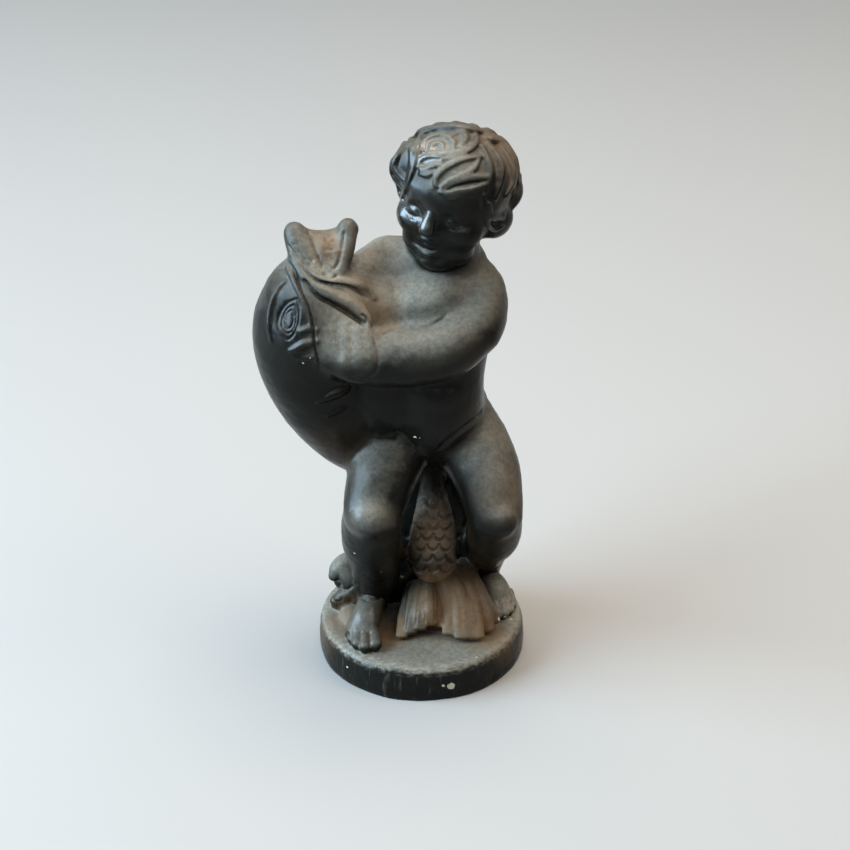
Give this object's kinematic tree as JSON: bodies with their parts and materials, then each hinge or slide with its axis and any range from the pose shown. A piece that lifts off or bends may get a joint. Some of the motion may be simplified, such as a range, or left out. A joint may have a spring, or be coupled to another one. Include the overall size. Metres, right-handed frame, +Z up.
{
  "type": "cherub statue",
  "caption": "Cast iron cherub who stands astride a dolphin and holds it in both arms, on a low round plinth; a garden figure in black paint.",
  "frame": {"origin": "centre of the plinth's flat underside", "axes": "+Z up; -Y the way the plinth's front faces, toward the camera of the picture; +X toward the cherub's left hand side"},
  "size_m": [0.3137, 0.25, 0.6674],
  "materials": {
    "painted_cast_iron": "black gloss paint over cast iron, with grey dust on what faces up and rust in the hollows"
  },
  "bodies": {
    "root": {"cherub_statue": "painted_cast_iron"}
  },
  "joints": []
}
